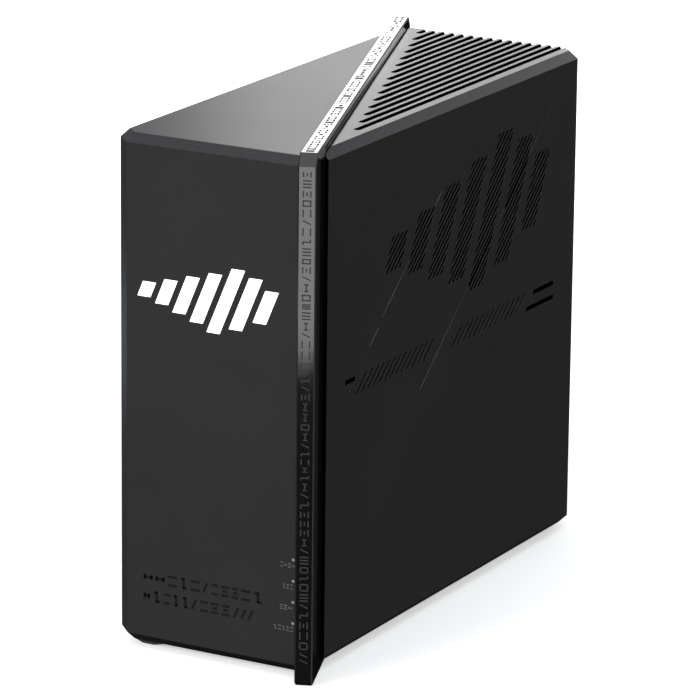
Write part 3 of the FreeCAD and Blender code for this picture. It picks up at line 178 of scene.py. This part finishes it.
def raised_gloss():
    """Polished black relief against the textured cover."""
    material, tree, shader = new_finish("polished_black_relief", {
        "Base Color": linear("#262627"), "Roughness": 0.25, "Specular IOR Level": 0.3})
    vary(tree, shader, "Roughness", 0.18, 0.26, 6)
    return material


def lit_acrylic(strength):
    """Opal acrylic lit from behind: white all over, its tone drifting slightly."""
    material, tree, shader = new_finish("lit_opal_acrylic", {
        "Base Color": linear("#f4f4f4"), "Roughness": 0.3, "Emission Color": linear("#ffffff"),
        "Emission Strength": strength})
    tint(tree, shader, "#efefef", "#fbfbfb", 9)
    return material


def clear_pipe():
    """Polished clear polycarbonate, glowing softly at its end."""
    material, tree, shader = new_finish("light_pipe_polycarbonate", {
        "Base Color": linear("#d8dadb"), "Roughness": 0.25, "Emission Color": linear("#d9dcdf"),
        "Emission Strength": 0.08})
    tint(tree, shader, "#8f9192", "#a2a4a5", 1.0)
    return material


def slot_wall(name, painted_rim_code):
    """Black paint inside a slot, standing in for painted shade; its colour may lift close to the
    outer skin as a painted highlight.
    """
    material, tree, shader = new_finish(name, {"Roughness": 0.95, "Specular IOR Level": 0.0})
    source = add_node(tree, "ShaderNodeTexCoord")
    parts = add_node(tree, "ShaderNodeSeparateXYZ", {"Vector": source.outputs["Object"]})
    # how far the wall lies below the side's skin: black painted shade deep inside, a painted
    # highlight of the rim colour at the skin
    depth = add_node(tree, "ShaderNodeMapRange", {
        "Value": parts.outputs["X"], "From Min": SIDE - 0.28 * MM, "From Max": SIDE - 0.02 * MM,
        "To Min": 0.0, "To Max": 1.0})
    shade = add_node(tree, "ShaderNodeMix", {
        "Factor": depth.outputs[0], 6: linear("#020202"), 7: linear(painted_rim_code)}, data_type="RGBA")
    tree.links.new(shade.outputs[2], shader.inputs["Base Color"])
    return material


def plain_plastic(name, low, high, roughness, texture_mm=0.4, depth_mm=0.006):
    """Moulded engineering plastic with slight flow marks and a fine tool texture."""
    material, tree, shader = new_finish(name, {"Specular IOR Level": 0.4})
    tint(tree, shader, low, high, 5)
    vary(tree, shader, "Roughness", roughness - 0.05, roughness + 0.05, 7)
    grain(tree, shader, texture_mm, depth_mm)
    return material


def plated_metal(name, low, high, roughness, stretch=(1, 1, 1)):
    """Metal sheet or wire: drawn or rolled lines along its length, dull to bright."""
    material, tree, shader = new_finish(name, {"Metallic": 1.0})
    tint(tree, shader, low, high, 2, stretch)
    vary(tree, shader, "Roughness", roughness - 0.08, roughness + 0.1, 1.2, stretch)
    return material


def solder_mask():
    """Glass-epoxy board under green solder mask, with the weave showing faintly."""
    material, tree, shader = new_finish("green_solder_mask", {"Roughness": 0.35, "Coat Weight": 0.4,
                                                              "Coat Roughness": 0.15})
    tint(tree, shader, "#0f3d22", "#175531", 3)
    point = place_on(tree)
    weave = add_node(tree, "ShaderNodeTexBrick", {
        "Vector": point, "Scale": 1.0, "Brick Width": 1.2 * MM, "Row Height": 0.6 * MM,
        "Mortar Size": 0.1 * MM})
    bump = add_node(tree, "ShaderNodeBump", {"Height": weave.outputs["Fac"],
                                             "Distance": 0.01 * MM})
    tree.links.new(bump.outputs[0], shader.inputs["Normal"])
    return material


def soft_rubber(name, low, high):
    """Moulded silicone rubber: matt, with a slight dusty sheen."""
    material, tree, shader = new_finish(name, {"Roughness": 0.8, "Specular IOR Level": 0.3,
                                               "Sheen Weight": 0.2, "Sheen Roughness": 0.5})
    tint(tree, shader, low, high, 2)
    grain(tree, shader, 0.5, 0.02)
    return material


FINISH = {
    "cover": moulded_cover("moulded_black_abs", "#353536", "#3a3a3b", 0.12),
    "rear_cover": moulded_cover("moulded_black_abs_rear", "#373738", "#3c3c3d", 0.17),
    "band": gloss_band(),
    "print": printed_grey(),
    "relief": raised_gloss(),
    "lens": lit_acrylic(1.6),
    "pipe": clear_pipe(),
    # painted shade on the walls of slots, and a painted highlight along the rims of the side's
    # lower slot walls
    "shade": slot_wall("painted_shade_slot_wall", "#020202"),
    "rim": slot_wall("slot_wall_painted_rim_highlight", "#6a6b6c"),
    # the scribed lines' groove faces, painted light grey as a painted highlight
    "line": plain_plastic("scribed_line_painted_highlight", "#5e5f60", "#6c6d6e", 0.5),
    # the band's bevels: a lighter copy as painted highlight on one side of the loop, a darker copy
    # as painted shade on the other
    "edge_painted_highlight": plain_plastic("band_edge_grey", "#38393a", "#3e3f40", 0.75),
    "edge_painted_shade": plain_plastic("band_edge_black", "#1a1a1b", "#1f1f20", 0.5),
    "panel": plain_plastic("textured_black_panel", "#131314", "#18181a", 0.55),
    "button": plain_plastic("satin_black_button", "#1e1e20", "#262628", 0.35, 0.3, 0.003),
    "socket": plain_plastic("black_nylon", "#0d0d0e", "#141415", 0.5),
    "lan": plain_plastic("yellow_nylon", "#b98a12", "#c99a1c", 0.45),
    "wan": plain_plastic("blue_nylon", "#16448f", "#1c4fa3", 0.45),
    "usb_blue": plain_plastic("blue_insulator", "#1747a8", "#1d55c0", 0.4),
    "frame": plain_plastic("glass_filled_nylon", "#161617", "#1d1d1f", 0.6, 0.6, 0.01),
    "white": plain_plastic("white_reflector_abs", "#dcdcda", "#ededeb", 0.5),
    "epoxy": plain_plastic("chip_epoxy", "#141414", "#1b1b1b", 0.55, 0.2, 0.004),
    "lamp": plain_plastic("phosphor_lamp", "#e3d68a", "#efe5a5", 0.4),
    "label": plain_plastic("silver_label_film", "#8d8f91", "#9a9c9e", 0.45),
    "board": solder_mask(),
    "gold": plated_metal("gold_flash_contact", "#b98a3c", "#d8ae5e", 0.3, (1, 0.1, 1)),
    "tin": plated_metal("tinned_steel_sheet", "#a9abad", "#c3c5c7", 0.35),
    "can": plated_metal("drawn_aluminium_can", "#a8aaad", "#bcbec1", 0.35),
    "sink": plated_metal("black_anodised_aluminium", "#1c1d1f", "#26272a", 0.45, (1, 1, 0.1)),
    "screw": plated_metal("black_zinc_steel", "#2c2d30", "#3c3d41", 0.35),
    "rubber": soft_rubber("black_silicone_foot", "#0b0b0b", "#111111"),
    "pad": soft_rubber("grey_thermal_pad", "#6f7a8a", "#7e899a"),
    "mark": plain_plastic("grey_screen_print", "#7e7e7f", "#8a8a8b", 0.7),
}

NODE_FINISH = {
    "cover": ["front_left_cover"], "rear_cover": ["rear_right_cover"],
    "band": ["diagonal_band"], "lens": ["emblem_lens"],
    "pipe": ["status_light_pipes", "jack_lights"],
    "panel": ["port_panel"], "button": ["power_button", "wps_button", "reset_button",
                                        "power_plunger", "wps_plunger", "reset_plunger"],
    "socket": ["power_inlet", "power_switch", "wps_switch", "reset_switch"],
    "lan": ["lan_jack_1", "lan_jack_2", "lan_jack_3", "lan_jack_4"], "wan": ["wan_jack"],
    "usb_blue": ["usb_tongue"], "frame": ["inner_frame"], "white": ["emblem_light_box"],
    "epoxy": ["board_chips", "socket_transformers"], "lamp": ["emblem_leds", "status_leds"],
    "label": ["rating_label"],
    "board": ["main_board", "emblem_led_board", "status_led_board", "aerial_left_front",
              "aerial_left_back", "aerial_right_front", "aerial_right_back"],
    "gold": ["jack_contacts", "power_inlet_pin"], "tin": ["usb_shell", "shield_cans"],
    "can": ["capacitors"], "sink": ["heat_sink"], "screw": ["board_screws", "cover_screws"],
    "rubber": ["front_foot", "rear_foot"], "pad": ["thermal_pads"],
}


def set_finish(obj, finish):
    obj.data.materials.clear()
    obj.data.materials.append(FINISH[finish])


for finish_name, names in NODE_FINISH.items():
    for node_name in names:
        set_finish(frame["nodes"][node_name], finish_name)


# ---------------------------------------------------------------- mesh helpers
def to_object(mesh, name, finish, body=ROOT, smooth=0):
    """Turn a bmesh into a piece of the object, with its finish, that rides on a body."""
    data = bpy.data.meshes.new(name)
    mesh.to_mesh(data)
    mesh.free()
    obj = bpy.data.objects.new(name, data)
    SCENE.collection.objects.link(obj)
    data.materials.append(FINISH[finish])
    if smooth:
        data.shade_smooth()
        data.set_sharp_from_angle(angle=math.radians(smooth))
    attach(obj, body)
    return obj


def softened(node, finish, width_mm, segments=2, least_mm=3.0, body=ROOT, paint=None, paints=()):
    """A copy of a CAD node whose longer sharp edges are rounded, shown in its place.

    paint gives each face the number of its finish: 0 is the piece's own, then those in paints."""
    mesh = bmesh.new()
    mesh.from_mesh(frame["nodes"][node].data)
    bmesh.ops.remove_doubles(mesh, verts=mesh.verts, dist=0.002 * MM)
    bmesh.ops.dissolve_limit(mesh, angle_limit=math.radians(0.5), verts=mesh.verts,
                             edges=mesh.edges)
    if paint:
        mesh.normal_update()
        for face in mesh.faces:
            face.material_index = paint(face.calc_center_median() / MM, face.normal)
    sharp = [
        edge for edge in mesh.edges
        if len(edge.link_faces) == 2 and edge.calc_face_angle() > math.radians(15)
        and edge.calc_length() > least_mm * MM
        and not any(face.material_index for face in edge.link_faces)
    ]
    bmesh.ops.bevel(mesh, geom=sharp, offset=width_mm * MM, affect="EDGES", segments=segments,
                    profile=0.5, material=-1, clamp_overlap=True)
    obj = to_object(mesh, node + "_shown", finish, body, smooth=35)
    for extra in paints:
        obj.data.materials.append(FINISH[extra])
    keep_flat = obj.modifiers.new("flat_faces", "WEIGHTED_NORMAL")
    keep_flat.keep_sharp = True
    keep_flat.weight = 90
    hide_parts(node)
    return obj


def block(mesh, centre, sides, axes):
    """A box on three axes, which leans where they aren't square to each other."""
    made = bmesh.ops.create_cube(mesh, size=1.0)
    turn = Matrix.Identity(4)
    for column in range(3):
        for row in range(3):
            turn[row][column] = axes[column][row] * sides[column]
    turn.translation = centre
    bmesh.ops.transform(mesh, matrix=turn, verts=made["verts"])


# ---------------------------------------------------------------- softened CAD shells
# the long lines scribed in the right side: middle along Y and Z, and half length, in mm
SIDE_LINES = ((30.0, 138.4, 73.0), (-32.5, 148.5, 31.0), (-62.2, 122.5, 5.2))
LINE_HALF_WIDTH = 0.45
SLANT = math.radians(40)
# the cut along the body's long edges, and how deep below a face its slots' walls can lie
EDGE_CUT = 3.3
TOP_WALL_DEPTH, SIDE_WALL_DEPTH = 3.4, 2.6
# the ornament of the right side lies within these heights, and this far from the middle
ORNAMENT_LOW, ORNAMENT_HIGH, ORNAMENT_REACH = 85, 192, 100


def cover_paint(centre, normal):
    """1 the walls of slots, painted black as painted shade, 2 their lower walls in the side, with a
    painted highlight near the skin, 3 the scribed lines, painted light grey as a painted highlight.
    """
    side, top = SIDE / MM, (TOP - BAND_PROUD) / MM
    upright = abs(normal.z) < 0.3
    # the walls of the top vents get painted shade
    if top - TOP_WALL_DEPTH < centre.z < top - 0.02 and upright and centre.x < side - EDGE_CUT:
        return 1
    on_side = (side - SIDE_WALL_DEPTH < centre.x < side - 0.01
               and abs(centre.y) <= ORNAMENT_REACH and ORNAMENT_LOW < centre.z < ORNAMENT_HIGH)
    if not on_side:
        return 0
    # faces in and beside the scribed lines get the light grey painted highlight
    for y, z, half in SIDE_LINES:
        up, along = centre.z - z, centre.y - y
        off = up * math.cos(SLANT) - along * math.sin(SLANT)
        run = up * math.sin(SLANT) + along * math.cos(SLANT)
        if abs(off) < LINE_HALF_WIDTH and abs(run) < half:
            return 3
    # lower walls facing up and to the front get the painted rim highlight, the rest painted shade
    return 2 if normal.z > 0.3 and normal.y < 0 else 1


def band_paint(centre, normal):
    """1 the bevels on one side of the loop, painted lighter grey as a painted highlight, 2 those on
    the other side, painted darker as painted shade.
    """
    across = normal.dot(ACROSS)
    if not 0.3 < abs(across) < 0.95:
        return 0
    # which side gets the painted highlight depends on which way the bevel faces across the band
    front = centre.dot(ALONG) > -DIAGONAL / MM
    return 1 if (across > 0) == front else 2


softened("front_left_cover", "cover", 0.25)
softened("rear_right_cover", "rear_cover", 0.25, least_mm=12.0, paint=cover_paint,
         paints=("shade", "rim", "line"))
softened("diagonal_band", "band", 0.12, paint=band_paint, paints=("edge_painted_highlight", "edge_painted_shade"))
softened("port_panel", "panel", 0.2)
softened("power_button", "button", 0.35, 3, 2.0, "power_button")
softened("wps_button", "button", 0.2, 2, 0.2, "wps_button")
for jack in ("lan_jack_1", "lan_jack_2", "lan_jack_3", "lan_jack_4"):
    softened(jack, "lan", 0.15, 1)
softened("wan_jack", "wan", 0.15, 1)
softened("power_inlet", "socket", 0.2)
softened("usb_shell", "tin", 0.12, 1)
softened("front_foot", "rubber", 0.3, 2, 1.0)
softened("rear_foot", "rubber", 0.3, 2, 1.0)


# ---------------------------------------------------------------- abstract marks
X_AXIS = Vector((1, 0, 0))
# each sign is a list of bars on a unit square: place along, place across, length, height
SIGNS = {
    "rails": ((0, 0.5, 1, 0), (0, -0.5, 1, 0)),
    "rungs": ((-0.5, 0, 0, 1), (0, 0, 0, 1), (0.5, 0, 0, 1)),
    "stairs": ((-0.25, 0.5, 0.5, 0), (0, 0, 0, 1), (0.25, -0.5, 0.5, 0)),
    "bridge": ((-0.5, 0, 0, 0.5), (0, 0, 1, 0), (0.5, 0, 0, 0.5)),
    "triple": ((0, 0.5, 1, 0), (0, 0, 0.6, 0), (0, -0.5, 1, 0)),
    "frame": ((0, 0.5, 1, 0), (0, -0.5, 1, 0), (0.5, 0, 0, 1), (-0.5, 0, 0, 1)),
}


# spaces in a row of signs, as shares of its height, and how far a slash leans
SIGN_GAP, SLASH_SPACE, END_SLASH_SPACE, SLASH_LEAN = 0.32, 0.9, 0.72, 0.45
SIGNS_PER_SLASH = 5


def sign_row(mesh, start, along, across, total, height, stroke, thick, seed, kinds, slashes=0):
    """Abstract signs spaced along a line, broken up by slashes and closed by more of them."""
    order = random.Random(seed)
    normal = along.cross(across)
    lean = (across + SLASH_LEAN * along).normalized()
    at, count = 0.0, 0
    room = total - slashes * 0.8 * height
    while at < room - height:
        if count % (SIGNS_PER_SLASH + 1) == SIGNS_PER_SLASH:
            block(mesh, start + along * (at + height / 4), (stroke, height, thick),
                  (along, lean, normal))
            at += height * SLASH_SPACE
        else:
            length = height * order.choice((0.62, 0.75, 0.9))
            for place, aside, long, wide in SIGNS[order.choice(kinds)]:
                spot = (start + along * (at + length / 2 + place * (length - stroke))
                        + across * aside * (height - stroke))
                block(mesh, spot, (max(stroke, long * length), max(stroke, wide * height), thick),
                      (along, across, normal))
            at += length + height * SIGN_GAP
        count += 1
    for i in range(slashes):
        block(mesh, start + along * (at + (i + 0.5) * height * END_SLASH_SPACE),
              (stroke, height, thick), (along, lean, normal))


def band_marks():
    """Printed signs down both uprights and over the top, with a hatch on each sloping end."""
    mesh = bmesh.new()
    kinds = ("rails", "rungs", "stairs", "bridge", "triple", "frame")
    lift = PRINT_LIFT / 2
    height, stroke, thick = 3.3 * MM, 0.52 * MM, 2 * PRINT_LIFT
    for side, seed in ((1, 3), (-1, 11)):
        start = ALONG * side * (BAND_END + lift) + UP * (TOP - BAND_END_CUT - 2 * MM)
        sign_row(mesh, start, -UP, ALONG.cross(UP) * -side, TOP - BAND_END_CUT - 8 * MM,
                 height, stroke, thick, seed, kinds, 2)
        middle = ALONG * side * (BAND_END - BAND_END_CUT / 2) + UP * (TOP - BAND_END_CUT / 2)
        normal = (ALONG * side + UP).normalized()
        down = (ALONG * side - UP).normalized()
        level = normal.cross(down)
        for i in range(6):
            spot = middle + level * (i - 2.5) * 0.8 * MM + normal * lift
            block(mesh, spot, (0.38 * MM, 4.4 * MM, thick),
                  (level, (down + 0.4 * level).normalized(), normal))
    start = ALONG * (BAND_END - BAND_END_CUT - 1 * MM) + UP * (TOP + lift)
    sign_row(mesh, start, -ALONG, -ACROSS, 2 * (BAND_END - BAND_END_CUT - 1 * MM),
             height, 1.5 * stroke, thick, 7, kinds)
    obj = to_object(mesh, "band_marks", "print")


def front_relief():
    """Two rows of polished raised signs low on the front; the second ends in three slashes."""
    mesh = bmesh.new()
    kinds = ("rails", "stairs", "bridge", "triple")
    # each row: its height above the floor and its right end in mm, its seed, its last slashes
    for z, end, seed, slashes in ((29.3, 24.8, 5, 0), (21.8, 22.0, 8, 3)):
        start = Vector((-28.7 * MM, FRONT, z * MM))
        sign_row(mesh, start, X_AXIS, UP, end * MM - start.x, 4.4 * MM, 1.0 * MM, 0.3 * MM,
                 seed, kinds, slashes)
    obj = to_object(mesh, "front_relief", "relief")


def status_marks():
    """A short row of tiny printed bars to the left of each status light."""
    mesh = bmesh.new()
    low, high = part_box("status_light_pipes")
    # the pipes' carrier reaches this far past the first and last light
    spare = 3 * MM
    step = (high.z - low.z - 2 * spare) / 3
    for i, length in enumerate((9.0, 6.2, 5.0, 6.2)):
        z = low.z + spare + i * step - 2.4 * MM
        start = Vector((high.x - (length + 0.6) * MM, FRONT, z))
        sign_row(mesh, start, X_AXIS, UP, length * MM + 1 * MM, 1.7 * MM, 0.24 * MM,
                 2 * PRINT_LIFT, 20 + i, ("rails", "stairs", "bridge", "triple"))
    obj = to_object(mesh, "status_marks", "mark")


def port_marks():
    """Plain printed pictures beside the sockets: counted dots, a ring, a fork, bars."""
    mesh = bmesh.new()
    across, normal = Vector((-1, 0, 0)), Vector((0, 1, 0))
    axes = (across, UP, normal)
    thick = 2 * PRINT_LIFT

    def bar(dx, dz, wide, tall, centre):
        block(mesh, centre + across * dx * MM + UP * dz * MM, (wide * MM, tall * MM, thick), axes)

    def middle(node):
        low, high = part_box(node)
        return Vector((PANEL_HIGH.x - MARK_INSET, PANEL_HIGH.y, (low.z + high.z) / 2))

    for number in range(1, 5):
        centre = middle(f"lan_jack_{number}")
        for i in range(number):
            bar((i - (number - 1) / 2) * 1.3, 0, 0.8, 0.8, centre)
        bar(0, -1.6, 5.0, 0.35, centre)
    centre = middle("wan_jack")
    for turn in range(4):
        angle = math.radians(45 + 90 * turn)
        bar(1.5 * math.cos(angle), 1.5 * math.sin(angle), 0.7, 0.7, centre)
    bar(0, 0, 0.9, 0.9, centre)
    centre = middle("usb_shell")
    bar(0, 0, 0.4, 4.0, centre)
    bar(0.8, 0.6, 1.6, 0.4, centre)
    bar(-0.8, -0.4, 1.6, 0.4, centre)
    centre = middle("power_inlet")
    bar(0, 0.5, 3.2, 0.4, centre)
    for i in (-1, 0, 1):
        bar(1.2 * i, -0.5, 0.8, 0.4, centre)
    centre = middle("power_button")
    bar(-1.0, 0, 0.4, 2.2, centre)
    for dx, dz, wide, tall in ((1.0, 1.0, 1.6, 0.3), (1.0, -1.0, 1.6, 0.3), (0.2, 0, 0.3, 2.3),
                               (1.8, 0, 0.3, 2.3)):
        bar(dx, dz, wide, tall, centre)
    centre = middle("wps_button")
    for i in range(3):
        bar(0.9 * (i - 1), 0.35 * (i - 1), 0.35, 1.0 + 0.7 * i, centre)
    bar(0, 0, 1.6, 0.35, middle("reset_button"))
    bar(0, 0, 0.35, 1.6, middle("reset_button"))
    obj = to_object(mesh, "port_marks", "mark")


band_marks()
front_relief()
status_marks()
port_marks()


# ---------------------------------------------------------------- floor, lights, camera
def floor():
    """A wide pale sheet, kept out of the object's reflections and its bounced light."""
    mesh = bmesh.new()
    bmesh.ops.create_circle(mesh, cap_ends=True, segments=96, radius=6.0)
    data = bpy.data.meshes.new("floor")
    mesh.to_mesh(data)
    mesh.free()
    obj = bpy.data.objects.new("floor", data)
    obj.location.z = -0.05 * MM
    SCENE.collection.objects.link(obj)
    data.materials.append(new_finish("pale_paper_floor", {
        "Base Color": linear("#f2f2f2"), "Roughness": 0.95, "Specular IOR Level": 0.1,
        "Emission Color": linear("#ffffff"), "Emission Strength": 0.5})[0])
    obj.visible_glossy = False
    obj.visible_diffuse = False


def area_light(name, spot, aim, size, power, colour="#ffffff"):
    """A rectangular light in metres and watts, aimed at a point and hidden from the camera."""
    data = bpy.data.lights.new(name, "AREA")
    data.shape = "RECTANGLE"
    data.size, data.size_y = size
    data.energy = power
    data.color = linear(colour)[:3]
    obj = bpy.data.objects.new(name, data)
    obj.matrix_world = Matrix.Translation(spot) @ (Vector(aim) - Vector(spot)).to_track_quat(
        "-Z", "Y").to_matrix().to_4x4()
    obj.visible_camera = False
    SCENE.collection.objects.link(obj)


def world():
    """A pale room above and darkness below, so upright faces stay black."""
    room = bpy.data.worlds.new("studio")
    SCENE.world = room
    room.use_nodes = True
    tree = room.node_tree
    tree.nodes.clear()
    source = add_node(tree, "ShaderNodeTexCoord")
    parts = add_node(tree, "ShaderNodeSeparateXYZ", {"Vector": source.outputs["Generated"]})
    height = add_node(tree, "ShaderNodeMapRange", {
        "Value": parts.outputs["Z"], "From Min": -0.05, "From Max": 0.6,
        "To Min": 0.0, "To Max": 0.72})
    shade = add_node(tree, "ShaderNodeMix", {
        "Factor": height.outputs[0], 6: linear("#0c0c0d"), 7: linear("#e4e9ed")},
        data_type="RGBA")
    light = add_node(tree, "ShaderNodeBackground", {"Color": shade.outputs[2], "Strength": 1.0})
    add_node(tree, "ShaderNodeOutputWorld", {"Surface": light.outputs[0]})


def camera():
    """A long lens from the right front, a little above, rolled by a fraction of a degree."""
    azimuth, elevation, roll = (math.radians(a) for a in (28.98, 15.84, 0.62))
    spot = Vector((882.96, -1598.21, 613.9)) * MM
    back = Vector((math.sin(azimuth) * math.cos(elevation),
                   -math.cos(azimuth) * math.cos(elevation), math.sin(elevation)))
    level = Vector((math.cos(azimuth), math.sin(azimuth), 0))
    rise = back.cross(level)
    right = level * math.cos(roll) + rise * math.sin(roll)
    above = rise * math.cos(roll) - level * math.sin(roll)
    data = bpy.data.cameras.new("camera")
    data.sensor_width = 36.0
    data.lens = 247.0
    data.clip_end = 50.0
    obj = bpy.data.objects.new("camera", data)
    place = Matrix((right, above, back)).transposed().to_4x4()
    place.translation = spot
    obj.matrix_world = place
    SCENE.collection.objects.link(obj)
    SCENE.camera = obj


floor()
world()
camera()
CENTRE = (0, 0, 0.1)
# two low cards behind, which the top faces and the band mirror towards the camera
area_light("band_card", (-0.74, 1.35, 0.55), (0.0, 0.0, 0.2), (0.22, 0.30), 1.0)
area_light("plate_card", (-0.16, 1.35, 0.37), (-0.05, 0.0, 0.2), (0.80, 0.42), 6.0)
area_light("top_softbox", (-0.1, -0.2, 1.9), CENTRE, (1.6, 1.6), 8)
area_light("right_fill", (1.9, 0.1, 0.2), CENTRE, (1.0, 0.6), 8)
area_light("front_low_card", (0.30, -1.05, 0.012), (0.2, -0.5, 0.5), (0.7, 0.34), 3.0)
area_light("front_fill", (-0.9, -1.9, 1.0), CENTRE, (1.2, 1.0), 30)
# a cool light low on the left, which only the left side and the cut beside it catch
area_light("left_fill", (-0.36, -0.02, 0.03), (-0.04, -0.11, 0.05), (0.2, 0.05), 0.03, "#c8d8e6")
SCENE.view_settings.view_transform = "Standard"
